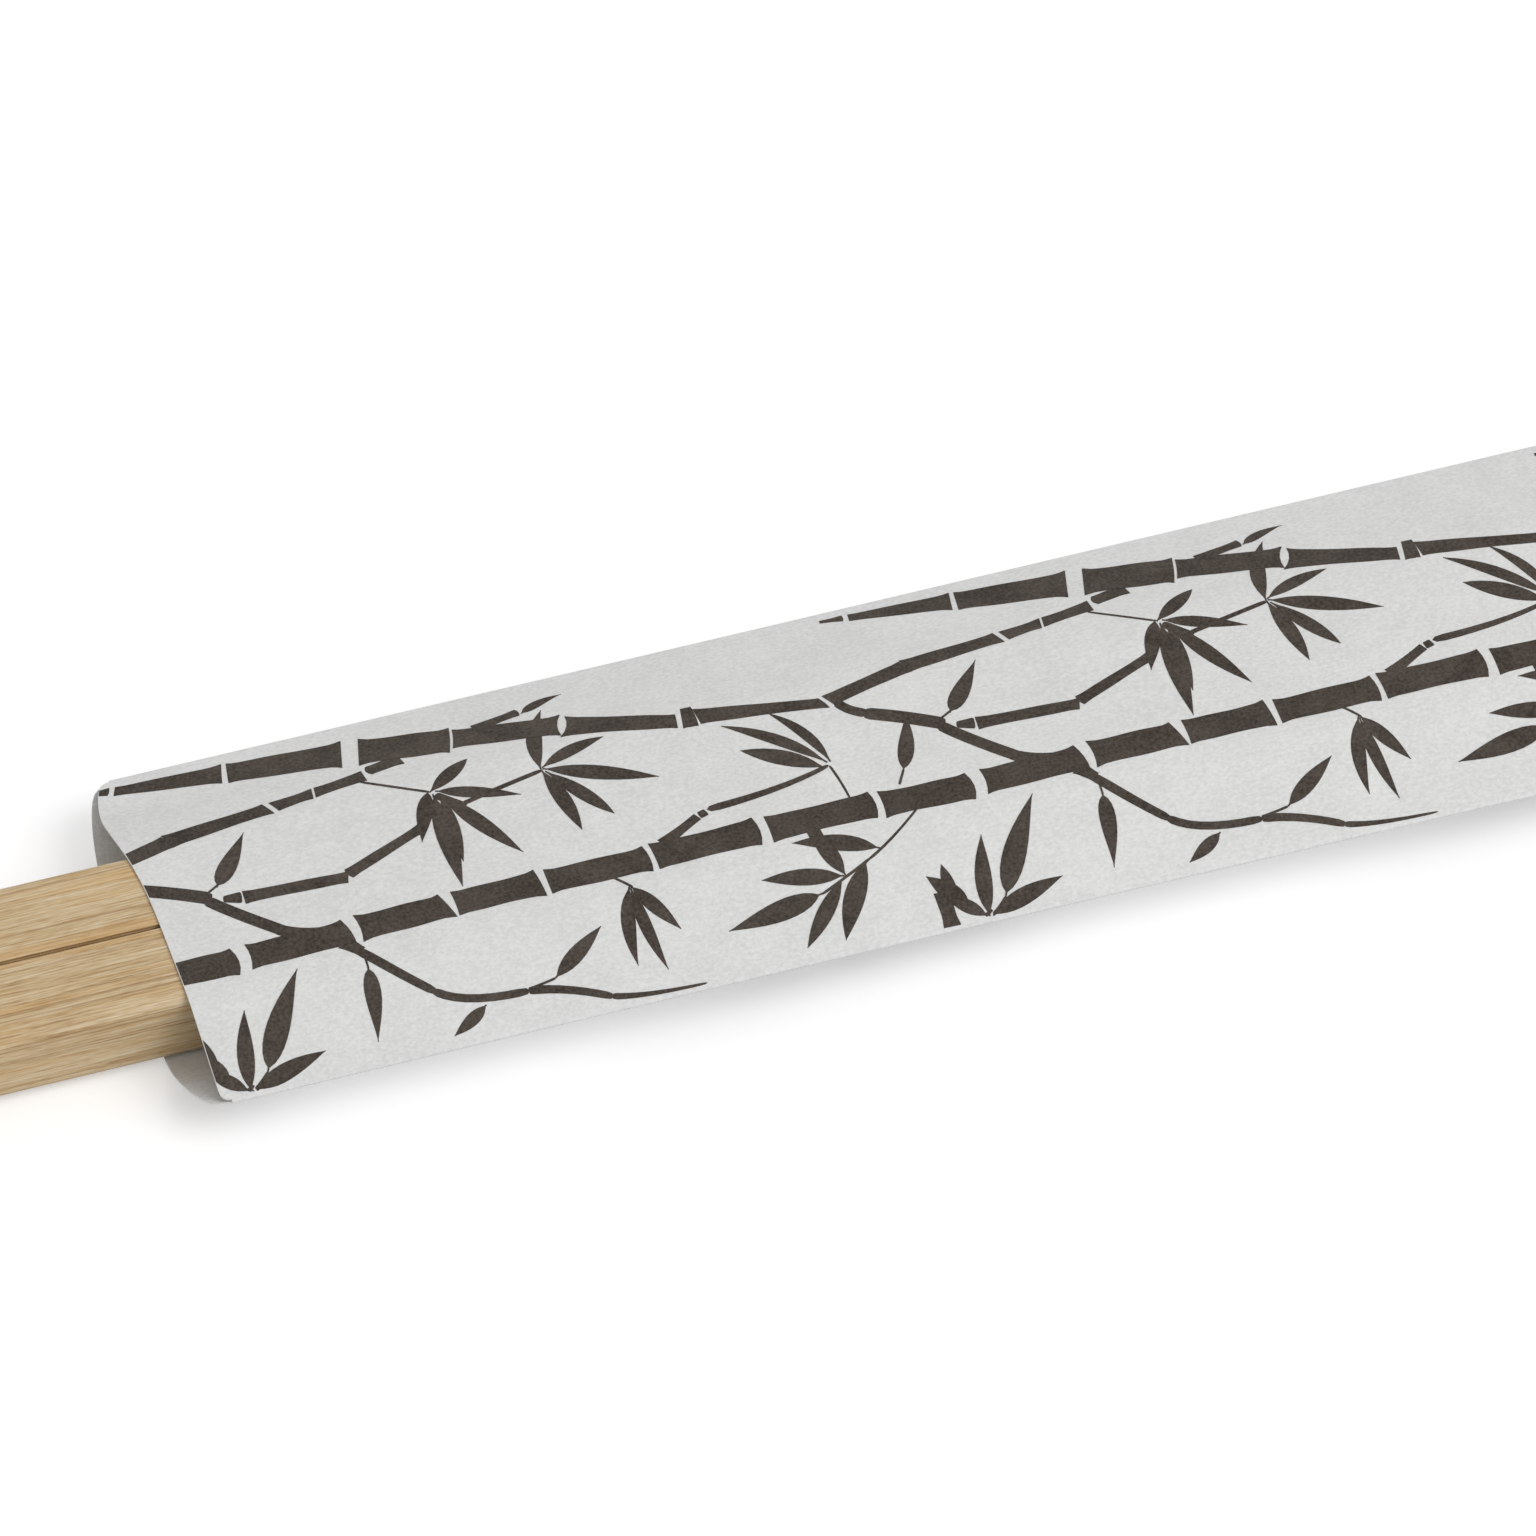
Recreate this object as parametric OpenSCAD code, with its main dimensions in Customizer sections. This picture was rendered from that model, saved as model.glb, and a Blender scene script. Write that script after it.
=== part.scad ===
// Disposable bamboo chopsticks in a paper half sleeve.
// The pair is cut from one flat strip of bamboo and is still joined at the head.
// The sleeve is one sheet of paper, folded flat, glued up its back, closed at the tips.
// X runs along the sticks with the head at -X, Y runs across them and Z is up.
// The origin is under the middle of the whole object, on the surface that it lies on.

/* [Chopsticks] */
// Length of the pair from the head to the tips
chop_len = 230; // [190:1:270]
// Width of the joined pair at the head
pair_w = 12; // [11:0.1:14]
// Thickness of the pair over its straight length
pair_t = 5.2; // [4:0.1:6]
// Width over both sticks at the tips
tip_w = 9; // [7:0.1:10]
// Thickness of the sticks at the tips
tip_t = 3.6; // [3:0.1:4]
// Length of the tapered eating end
taper_len = 100; // [60:1:140]
// Radius of the head's two corners, seen from above
head_r = 4.2; // [1:0.1:5]
// Radius of the tip corners of each stick, seen from above
tip_r = 1.5; // [0.5:0.1:1.7]
// Easing radius of the long edges at the head
edge_r = 0.8; // [0.3:0.1:1.4]
// Easing radius of the long edges at the tips
tip_edge_r = 1.2; // [0.3:0.1:1.4]
// Length of the head that the saw cut leaves joined
joined_len = 26; // [10:1:60]
// Width of the saw cut between the two sticks
kerf_w = 0.3; // [0.2:0.1:1.4]
// Depth of the snapping score on both faces of the joined head
score_depth = 0.5; // [0.2:0.1:1.5]
// Width of the snapping score at the surface
score_w = 0.7; // [0.4:0.1:1.6]

/* [Sleeve] */
// Flat width of the sleeve, from fold to fold
panel_w = 27; // [24:0.5:36]
// Length of the printed front panel, from the closed end to the mouth
sleeve_len = 148; // [90:1:200]
// How far the back panel reaches past the front panel at the mouth
lip_len = 1.5; // [1:0.1:8]
// Radius of the lip's corners at the side folds
lip_corner_r = 6; // [1:0.1:8]
// Thickness of the paper
paper_t = 0.12; // [0.08:0.01:0.3]
// Overlap of the glued seam along the back
seam_w = 7; // [4:0.5:9]
// Length of the closed end that is folded over onto the back
flap_len = 10; // [4:0.5:30]
// Room between the tips and the closed end
tip_gap = 8; // [4:0.5:20]
// Height of the side folds over the middle of the pair
fold_rise = 1; // [0:0.1:1.5]
// Looseness of the paper round the sticks, on each side
slack = 0.15; // [0.1:0.01:0.4]
// Radius that the paper takes over the edges of the pair
shoulder_r = 8; // [3:0.5:12]

/* [Hidden] */

// Inside height of a sharp paper crease
crease = 0.1;
// Width over which the outside steps up to a glued-on layer of paper
step_w = 2 * paper_t;
// Points on each eased edge, head corner and tip corner of the sticks
edge_steps = 5;
corner_steps = 8;
// Points across each sloping flank of the sleeve, across its seam and along its closing end
flank_steps = 12;
seam_steps = 4;
closing_steps = 8;
// Largest share of the thickness that one eased edge takes up
edge_share = 0.45;
// How far a cutting shape runs past the surface that it opens
overrun = 1;

total_len = chop_len + tip_gap;
head_x = -total_len / 2;
closed_x = total_len / 2;
// The mid-plane of the pair lies over the sleeve's back panel and its seam.
mid_z = pair_t / 2 + slack + 2 * paper_t;

// Size of the pair at distance s from the head, before its ends are rounded
function taper_share(s) = max(0, (s - chop_len + taper_len) / taper_len);
function stick_w(s) = pair_w + (tip_w - pair_w) * taper_share(s);
function stick_t(s) = pair_t + (tip_t - pair_t) * taper_share(s);
function stick_r(s) = edge_r + (tip_edge_r - edge_r) * taper_share(s);

// Height that a rounding of radius r still lacks at depth u behind an end face, as a negative number
function eased(u, r) = u < r ? sqrt(r * r - (r - u) * (r - u)) - r : 0;

// One rounded rectangle across the pair: w wide, t thick, with corner radius r
function stick_ring(s, w, t, r) = [
    for (corner = [0:3], k = [0:edge_steps])
        let (
            angle = 90 * corner + 90 * k / edge_steps,
            side_y = corner == 0 || corner == 3 ? 1 : -1,
            side_z = corner < 2 ? 1 : -1
        )
        [
            head_x + s,
            side_y * (w / 2 - r) + r * cos(angle),
            mid_z + side_z * (t / 2 - r) + r * sin(angle)
        ]
];

// Rings of the head, whose corners are arcs in plan and whose faces ease off
head_rings = [
    for (k = [0:corner_steps])
        let (
            angle = 90 * k / corner_steps,
            s = head_r * (1 - cos(angle)),
            t = pair_t + 2 * eased(s, edge_r)
        )
        stick_ring(s, pair_w - 2 * head_r * (1 - sin(angle)), t, min(edge_r, edge_share * t))
];

// Rings of the tips, rounded in the same way
tip_rings = [
    for (k = [0:corner_steps])
        let (
            angle = 90 * k / corner_steps,
            s = chop_len - tip_r + tip_r * sin(angle),
            left = tip_r * (1 - sin(angle)),
            t = stick_t(s) + 2 * eased(left, tip_edge_r)
        )
        stick_ring(s, stick_w(s) - 2 * tip_r * (1 - cos(angle)), t, min(stick_r(s), edge_share * t))
];

shoulder_s = chop_len - taper_len;
shoulder_rings = [stick_ring(shoulder_s, pair_w, pair_t, edge_r)];

// The four corners of a grid cell as two triangles
function cell(a, b, c, d) = [[a, b, c], [a, c, d]];

// Closed skin over rings of equal length, with a flat cap at each end
module loft(rings) {
    n = len(rings[0]);
    last = len(rings) - 1;
    sides = [
        for (i = [0:last - 1], k = [0:n - 1])
            let (m = (k + 1) % n)
            each cell(i * n + k, (i + 1) * n + k, (i + 1) * n + m, i * n + m)
    ];
    first_cap = [for (k = [0:n - 1]) k];
    last_cap = [for (k = [n - 1:-1:0]) last * n + k];
    polyhedron(
        points = [for (ring = rings) each ring],
        faces = concat([first_cap, last_cap], sides),
        convexity = 4
    );
}

// Saw cut between the sticks in plan: a round root, straight sides and rounded tip corners
module saw_cut() {
    half = kerf_w / 2;
    tip_x = head_x + chop_len;
    root_x = head_x + joined_len + half;
    root = [
        for (k = [0:corner_steps])
            let (a = 90 + 180 * k / corner_steps)
            [root_x + half * cos(a), half * sin(a)]
    ];
    flare = [
        for (k = [0:corner_steps])
            let (a = 90 * k / corner_steps)
            [tip_x - tip_r + tip_r * sin(a), half + tip_r * (1 - cos(a))]
    ];
    mouth = [tip_x + overrun, half + tip_r];
    out = concat(flare, [mouth]);
    lower = [for (p = out) [p[0], -p[1]]];
    upper = [for (k = [len(out) - 1:-1:0]) out[k]];
    translate([0, 0, mid_z - pair_t / 2 - overrun])
        linear_extrude(pair_t + 2 * overrun)
            polygon(concat(root, lower, upper));
}

// V-shaped score along the joined head, in the upper face
module snapping_score() {
    half = score_w / 2 * (score_depth + overrun) / score_depth;
    floor_z = pair_t / 2 - score_depth;
    top_z = pair_t / 2 + overrun;
    translate([head_x - overrun, 0, mid_z])
        rotate([90, 0, 90])
            linear_extrude(joined_len + overrun + kerf_w / 2)
                polygon([[0, floor_z], [half, top_z], [-half, top_z]]);
}

// The snap-apart pair: one strip of bamboo, sawn up the middle from the tips
module chopsticks() {
    color("burlywood")
        difference() {
            loft(concat(head_rings, shoulder_rings, tip_rings));
            saw_cut();
            snapping_score();
            translate([0, 0, mid_z])
                mirror([0, 0, 1])
                    translate([0, 0, -mid_z])
                        snapping_score();
        }
}

// Inside half height and half width of the paper over the sticks, at distance d from the closed end
function pocket_half_t(d) = d >= tip_gap
    ? stick_t(chop_len + tip_gap - d) / 2 + slack
    : crease / 2 + (tip_t / 2 + slack - crease / 2) * sin(90 * d / tip_gap);
function pocket_half_w(d) = stick_w(min(chop_len, chop_len + tip_gap - d)) / 2 + slack;

// Half the distance between the side folds: the paper keeps its width as it rises over the sticks
function fold_y(d) =
    let (a = pocket_half_w(d), rise = pocket_half_t(d) - crease / 2)
    a + sqrt(pow(panel_w / 2 - a, 2) - rise * rise);

// Height of the folds over the mid-plane, which sinks to it where the sleeve closes
function fold_z(d) = fold_rise * (pocket_half_t(d) - crease / 2) / (pair_t / 2 + slack - crease / 2);

// Inside distance of a panel from the mid-plane: flat on the sticks, then an arc over their edge, then
// a straight flank that ends at the fold. side is 1 for the front panel and -1 for the back panel.
function panel_z(d, y, side) =
    let (
        a = pocket_half_w(d),
        b = pocket_half_t(d),
        h = fold_y(d),
        edge = side * fold_z(d) + crease / 2,
        slope = atan2(b - edge, h - a),
        run = shoulder_r * tan(slope / 2),
        flat_end = a - run,
        flank_start = a + run * cos(slope),
        u = abs(y)
    )
    u <= flat_end ? b
    : u < flank_start ? b - shoulder_r + sqrt(shoulder_r * shoulder_r - pow(u - flat_end, 2))
    : edge + (h - u) * tan(slope);

// Places across a panel from fold to fold, closer together towards the folds
function across(d) =
    let (
        seam = seam_w / 2,
        start = seam + step_w,
        flank = [for (k = [0:flank_steps]) start + (fold_y(d) - start) * sin(90 * k / flank_steps)]
    )
    concat(
        [for (k = [flank_steps:-1:0]) -flank[k]],
        [for (k = [0:seam_steps]) seam * (2 * k / seam_steps - 1)],
        flank
    );

// Layers of paper glued onto the back panel: the seam's overlap, and the folded-over end
function back_layers(d, y) = (abs(y) <= seam_w / 2 ? 1 : 0) + (d <= flap_len ? 2 : 0);

// How far the back panel reaches past the mouth, with round corners at the folds
function lip(d, y) =
    let (u = abs(y) - fold_y(d) + lip_corner_r)
    u <= 0 ? lip_len : lip_len * sqrt(max(0, 1 - pow(u / lip_corner_r, 2)));

// One ring of the sleeve: over the front from fold to fold, then back under the sticks
function sleeve_ring(d, outside, at_mouth) =
    let (
        places = across(d),
        spread = outside ? 1 + paper_t / fold_y(d) : 1,
        wall = outside ? paper_t : 0,
        x = closed_x - d,
        last = len(places) - 1,
        front = [for (y = places) [x, y * spread, mid_z + panel_z(d, y, 1) + wall]],
        back = [
            for (k = [last:-1:0])
                let (
                    y = places[k],
                    reach = at_mouth ? lip(d, y) : 0,
                    glued = outside ? back_layers(d, y) * paper_t : 0
                )
                [x - reach, y * spread, mid_z - panel_z(d, y, -1) - wall - glued]
        ]
    )
    concat(front, back);

// Numbers of a list in rising order, each once
function in_order(v) = len(v) < 2 ? v : let (
    below = [for (x = v) if (x < v[0]) x],
    above = [for (x = v) if (x > v[0]) x]
) concat(in_order(below), [v[0]], in_order(above));

// Distances from the closed end at which the sleeve has a ring
end_wall = 2 * paper_t;
closing = [for (k = [1:closing_steps]) tip_gap * k / closing_steps];
bends = concat(closing, [flap_len, flap_len + step_w, tip_gap + taper_len]);
stations = in_order(concat([for (d = bends) if (d < sleeve_len) d], [sleeve_len]));

// The sleeve: an open-mouthed skin of paper with an outside and an inside
module paper_sleeve() {
    last = len(stations) - 1;
    rings = concat(
        [sleeve_ring(0, true, false)],
        [for (i = [0:last]) sleeve_ring(stations[i], true, i == last)],
        [for (i = [last:-1:0]) sleeve_ring(stations[i], false, i == last)],
        [sleeve_ring(end_wall, false, false)]
    );
    n = len(rings[0]);
    half = n / 2;
    end = (len(rings) - 1) * n;
    skin = [
        for (i = [0:len(rings) - 2], k = [0:n - 1])
            let (m = (k + 1) % n)
            each cell(i * n + k, (i + 1) * n + k, (i + 1) * n + m, i * n + m)
    ];
    outer_end = [for (k = [0:half - 2]) each cell(k, k + 1, n - 2 - k, n - 1 - k)];
    inner_end = [for (k = [0:half - 2]) each cell(end + k, end + n - 1 - k, end + n - 2 - k, end + k + 1)];
    color("whitesmoke")
        polyhedron(
            points = [for (ring = rings) each ring],
            faces = concat(skin, outer_end, inner_end),
            convexity = 8
        );
}

chopsticks();
paper_sleeve();
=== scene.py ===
from math import radians

import bmesh
import bpy
import numpy as np
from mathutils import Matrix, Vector


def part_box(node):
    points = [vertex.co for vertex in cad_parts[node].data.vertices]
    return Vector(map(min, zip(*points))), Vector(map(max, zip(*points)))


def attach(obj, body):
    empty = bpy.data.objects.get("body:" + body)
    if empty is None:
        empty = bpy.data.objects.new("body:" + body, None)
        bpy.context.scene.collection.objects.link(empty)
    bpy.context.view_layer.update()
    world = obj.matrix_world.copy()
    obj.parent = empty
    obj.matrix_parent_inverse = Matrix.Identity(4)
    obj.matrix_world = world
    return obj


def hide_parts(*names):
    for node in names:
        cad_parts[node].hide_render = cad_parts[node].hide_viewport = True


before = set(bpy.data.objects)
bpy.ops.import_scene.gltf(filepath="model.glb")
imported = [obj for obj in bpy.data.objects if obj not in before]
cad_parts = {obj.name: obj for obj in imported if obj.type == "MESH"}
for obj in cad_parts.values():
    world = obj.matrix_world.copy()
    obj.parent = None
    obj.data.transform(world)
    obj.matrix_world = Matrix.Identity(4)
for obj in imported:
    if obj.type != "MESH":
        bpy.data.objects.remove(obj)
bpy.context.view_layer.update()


# The chopsticks: one flat strip of bamboo, planed, with its long edges eased and its ends rounded.
# A saw cut from the tips makes two sticks that are still joined at the head, and a V-shaped score
# on both faces of the joined stretch shows where they snap apart.

MM = 0.001
pair_low, pair_high = (np.array(corner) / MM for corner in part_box("chopsticks"))
pair_len, pair_w, pair_t = pair_high - pair_low
head_x = pair_low[0]
mid_z = (pair_low[2] + pair_high[2]) / 2
tip_w = 9.0
tip_t = 3.6
taper_len = 100.0
head_r = 4.2
tip_r = 1.5
edge_r = 0.8
tip_edge_r = 1.2
joined_len = 26.0
kerf_w = 0.3
score_depth = 0.5
score_w = 0.7
sawn_edge = 0.05
score_runout = 1.2
edge_share = 0.9
stick_sharp = 38
hair = 1e-7


def tapered(s, at_head, at_tip):
    """A size of the pair at distance s from the head, which changes evenly over the taper."""
    share = np.clip((s - pair_len + taper_len) / taper_len, 0, 1)
    return at_head + (at_tip - at_head) * share


def rounding(depth, radius):
    """What a quarter circle takes off at a depth behind an end face: r - sqrt(r^2 - (r - depth)^2)."""
    rest = radius - np.clip(depth, 0, radius)
    return radius - np.sqrt(radius**2 - rest**2)


def tube_faces(rows, columns):
    """The quads of a grid whose columns close into a ring, as rows of four point numbers."""
    row, column = np.meshgrid(np.arange(rows - 1), np.arange(columns), indexing="ij")
    after = (column + 1) % columns
    near = row * columns
    far = near + columns
    corners = [near + column, near + after, far + after, far + column]
    return np.stack(corners, axis=-1).reshape(-1, 4)


def make_piece(name, points, faces, sharp_angle):
    """A mesh object from points in millimetres and lists of faces.

    Equal points are merged and points that no face uses are left out. Edges past the sharp angle, in
    degrees, are shaded sharp.
    """
    kept, number = np.unique(np.round(points, 6), axis=0, return_inverse=True)
    number = number.reshape(-1)
    rings = [list(dict.fromkeys(number[list(face)].tolist())) for face in faces]
    rings = [ring for ring in rings if len(ring) > 2]
    used = np.unique(np.concatenate(rings))
    place = np.full(len(kept), -1)
    place[used] = np.arange(len(used))
    mesh = bpy.data.meshes.new(name)
    mesh.from_pydata((kept[used] * MM).tolist(), [], [place[ring].tolist() for ring in rings])
    mesh.shade_smooth()
    mesh.set_sharp_from_angle(angle=radians(sharp_angle))
    piece = bpy.data.objects.new(name, mesh)
    bpy.context.scene.collection.objects.link(piece)
    return piece


def arc_steps(count):
    """Shares from 0 to 1 that lie evenly round a quarter circle: 1 - cos of 0 to 90 degrees."""
    return 1 - np.cos(np.radians(np.linspace(0, 90, count)))


def stick_surface():
    """The stick on the +Y side as rings of (x, y, z) along the length.

    Each ring runs up the sawn inner wall, over the score, across the upper face, round the eased
    edge, down the outer side and back under. The inner wall stands at y = 0 in the joined head and
    follows the saw cut's round root out to half the kerf.
    """
    root = joined_len + kerf_w / 2 * arc_steps(9)
    head = head_r * arc_steps(19)
    tips = pair_len - tip_r * arc_steps(13)
    straight = np.linspace(head_r, pair_len - tip_r, 90)
    s = np.unique(np.concatenate([head, root, [joined_len + score_runout], straight, tips]))[:, None]

    left = pair_len - s
    half_w = tapered(s, pair_w, tip_w) / 2 - rounding(s, head_r) - rounding(left, tip_r)
    half_t = tapered(s, pair_t, tip_t) / 2 - rounding(s, edge_r) - rounding(left, tip_edge_r)
    edge = np.minimum(tapered(s, edge_r, tip_edge_r), edge_share * half_t)
    half_kerf = kerf_w / 2
    root_depth = np.clip(s - joined_len, 0, half_kerf)
    inner = np.sqrt(half_kerf**2 - (half_kerf - root_depth) ** 2) + rounding(left, tip_r)
    scored = np.clip((joined_len + score_runout - s) / score_runout, 0, 1)
    score = sawn_edge + (score_w / 2 - sawn_edge) * scored
    depth = sawn_edge + (score_depth - sawn_edge) * scored

    wall = np.linspace(-1, 1, 5)
    across = np.linspace(0, 1, 8)
    turn = np.radians(np.linspace(0, 90, 8))[1:]
    side = np.linspace(1, -1, 6)[1:-1]
    face_y = (inner + score) * (1 - across) + (half_w - edge) * across
    edge_y = half_w - edge * (1 - np.sin(turn))
    edge_z = half_t - edge * (1 - np.cos(turn))
    upper_y = np.hstack([face_y, edge_y])
    upper_z = np.hstack([half_t + 0 * across, edge_z])
    y = np.hstack([inner + 0 * wall, upper_y, half_w + 0 * side, upper_y[:, ::-1]])
    z = np.hstack([(half_t - depth) * wall, upper_z, (half_t - edge) * side, -upper_z[:, ::-1]])
    return np.stack([head_x + s + 0 * y, y, mid_z + z], axis=-1)


# Where the sticks are joined there is no wall between them, so the faces at y = 0 are left out.
one_stick = stick_surface()
rings, ring_len = one_stick.shape[:2]
one_stick = one_stick.reshape(-1, 3)
stick_faces = tube_faces(rings, ring_len)[:, ::-1]
reach = one_stick[stick_faces][:, :, 1].max(axis=1)
stick_faces = stick_faces[reach > hair].tolist()
stick_faces.append(list(range(ring_len)))
stick_faces.append(list(range((rings - 1) * ring_len, rings * ring_len))[::-1])
other_faces = [[index + len(one_stick) for index in face[::-1]] for face in stick_faces]
both_sticks = np.vstack([one_stick, one_stick * (1, -1, 1)])
bamboo_pair = make_piece("bamboo_pair", both_sticks, stick_faces + other_faces, stick_sharp)


class Value:
    """A shader socket that takes part in sums: each operator adds the Math node that it stands for."""

    def __init__(self, socket):
        self.socket = socket
        self.tree = socket.id_data

    def node(self, kind, sockets, settings=(), output=0):
        """Adds a node of that kind, with its settings first, and gives back one of its outputs."""
        made = self.tree.nodes.new(kind)
        for name, setting in dict(settings).items():
            if name == "stops":
                ramp = made.color_ramp.elements
                while len(ramp) < len(setting):
                    ramp.new(0.5)
                for element, (position, colour) in zip(ramp, setting):
                    element.position = position
                    element.color = (*colour, 1)
            else:
                setattr(made, name, setting)
        for key, value in sockets.items():
            self.feed(made.inputs[key], value)
        return Value(made.outputs[output])

    def feed(self, target, value):
        """Links a value to a socket, or sets the socket to a plain number, vector or colour."""
        if isinstance(value, Value):
            self.tree.links.new(value.socket, target)
        else:
            target.default_value = value

    def sum(self, operation, first, second):
        """Adds a Math node that puts two values together by that operation."""
        return self.node("ShaderNodeMath", {0: first, 1: second}, {"operation": operation})

    def __add__(self, other):
        return self.sum("ADD", self, other)

    def __radd__(self, other):
        return self.sum("ADD", other, self)

    def __sub__(self, other):
        return self.sum("SUBTRACT", self, other)

    def __rsub__(self, other):
        return self.sum("SUBTRACT", other, self)

    def __mul__(self, other):
        return self.sum("MULTIPLY", self, other)

    def __rmul__(self, other):
        return self.sum("MULTIPLY", other, self)

    def noise(self, per_mm, detail):
        """Smooth noise from 0 to 1 with that many cells per millimetre along X, Y and Z."""
        scale = [count / MM for count in per_mm]
        spot = self.node("ShaderNodeMapping", {"Vector": self, "Scale": scale})
        sockets = {"Vector": spot, "Scale": 1.0, "Detail": detail, "Roughness": 0.6}
        return self.node("ShaderNodeTexNoise", sockets)

    def between(self, low, high):
        """This value as a share from 0 at low to 1 at high, and no further."""
        return self.node("ShaderNodeMapRange", {0: self, 1: low, 2: high})

    def ramp(self, *stops):
        """The colour at this value between the given stops of (position, colour)."""
        return self.node("ShaderNodeValToRGB", {"Fac": self}, {"stops": stops})

    def mixed(self, first, second):
        """The colour that lies this share of the way from the first colour to the second."""
        return self.node("ShaderNodeMix", {0: self, 6: first, 7: second}, {"data_type": "RGBA"}, 2)

    def relief(self, distance):
        """A normal bent by this value as a height, in a range of that many millimetres."""
        return self.node("ShaderNodeBump", {"Height": self, "Distance": distance * MM, "Strength": 1.0})


def seen(red, green, blue):
    """The shader's colour for one that is seen as these values from 0 to 255."""
    share = np.array([red, green, blue]) / 255
    return tuple(np.where(share > 0.04045, ((share + 0.055) / 1.055) ** 2.4, share / 12.92).tolist())


def new_material(name):
    """A material with the default shader, given back with that shader and the object coordinates."""
    material = bpy.data.materials.new(name)
    material.use_nodes = True
    tree = material.node_tree
    spot = Value(tree.nodes.new("ShaderNodeTexCoord").outputs["Object"])
    return material, tree.nodes["Principled BSDF"], spot


def bamboo():
    """Pale straw bamboo: fine fibres in cream, straw and tan, warmer patches and thin brown strands."""
    material, shader, spot = new_material("planed_bamboo")
    bands = spot.noise((0.012, 0.6, 0.5), 2.0)
    fibres = spot.noise((0.08, 3.4, 3.2), 3.0)
    dashes = spot.noise((0.2, 7.5, 7.0), 2.0)
    specks = spot.noise((1.0, 10.5, 10.0), 1.0)
    strands = spot.noise((0.035, 4.4, 4.0), 1.0)
    patches = spot.noise((0.06, 1.3, 1.2), 2.0)
    tone = 0.26 * bands + 0.40 * fibres + 0.62 * dashes + 0.30 * specks - 0.29
    straw = tone.ramp(
        (0.34, seen(162, 129, 88)),
        (0.46, seen(194, 167, 126)),
        (0.56, seen(208, 186, 150)),
        (0.70, seen(222, 206, 177)),
    )
    warm = (0.4 * patches.between(0.50, 0.66)).mixed(straw, (*seen(208, 165, 105), 1))
    strand = strands.between(0.60, 0.67)
    colour = (0.4 * strand).mixed(warm, (*seen(150, 108, 66), 1))
    spot.feed(shader.inputs["Base Color"], colour)
    spot.feed(shader.inputs["Roughness"], 0.50 + 0.18 * dashes)
    spot.feed(shader.inputs["Normal"], (fibres + 0.6 * dashes - 0.4 * strand).relief(0.05))
    shader.inputs["Specular IOR Level"].default_value = 0.35
    return material


bamboo_pair.data.materials.append(bamboo())
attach(bamboo_pair, "root")
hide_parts("chopsticks")


# The sleeve: one sheet of thin white paper, folded flat at both sides, lapped and glued up the
# middle of its back, and folded over and glued at the closed end. At the mouth the back panel
# reaches past the front one as a plain lip with rounded corners.

sleeve_low, sleeve_high = (np.array(corner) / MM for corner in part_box("paper_sleeve"))
lip_len = 1.5
lip_corner_r = 6.0
mouth_run = 14.0
mouth_r = 0.6
mouth_flare = 0.85
flare_start = 0.8
flare_v = 3.9
flare_w = 4.6
paper_t = 0.12
panel_w = 27.0
seam_w = 7.0
seam_press = 1.2
flap_len = 10.0
ink_overhang = 0.7
crease = 0.1
slack = 0.15
fold_rise = 1.0
shoulder_r = 8.0
swell_h = 0.22
cling_h = 0.33
cling_len = 25.0
long_wave_h = 0.06
long_wave_len = 6.6
long_wave_slant = 0.15
long_wave_start = 0.6
short_wave_h = 0.04
short_wave_len = 2.9
short_wave_slant = -0.22
wave_run_in = 10.0
back_bulge = 3.0
end_run = 14.0
sag_depth = 0.35
sag_w = 5.2
sag_len = 8.0
sheet_sharp = 40
closed_x = sleeve_high[0]
sleeve_len = closed_x - sleeve_low[0] - lip_len
tip_gap = closed_x - pair_high[0]


def pocket(d):
    """The inside of the sleeve at distance d from the closed end.

    Gives the half width and half height over the sticks, the half distance between the side folds,
    which shrinks as the paper rises over the sticks, and the height of the folds above the middle
    of the pair.
    """
    s = np.minimum(pair_len, pair_len + tip_gap - d)
    half_w = tapered(s, pair_w, tip_w) / 2 + slack
    over_tip = tip_t / 2 + slack - crease / 2
    closing = crease / 2 + over_tip * np.sin(np.pi / 2 * np.clip(d / tip_gap, 0, 1))
    half_t = np.where(d >= tip_gap, tapered(s, pair_t, tip_t) / 2 + slack, closing)
    rise = half_t - crease / 2
    fold_y = half_w + np.sqrt((panel_w / 2 - half_w) ** 2 - rise**2)
    fold_z = fold_rise * rise / (pair_t / 2 + slack - crease / 2)
    return half_w, half_t, fold_y, fold_z


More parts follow.
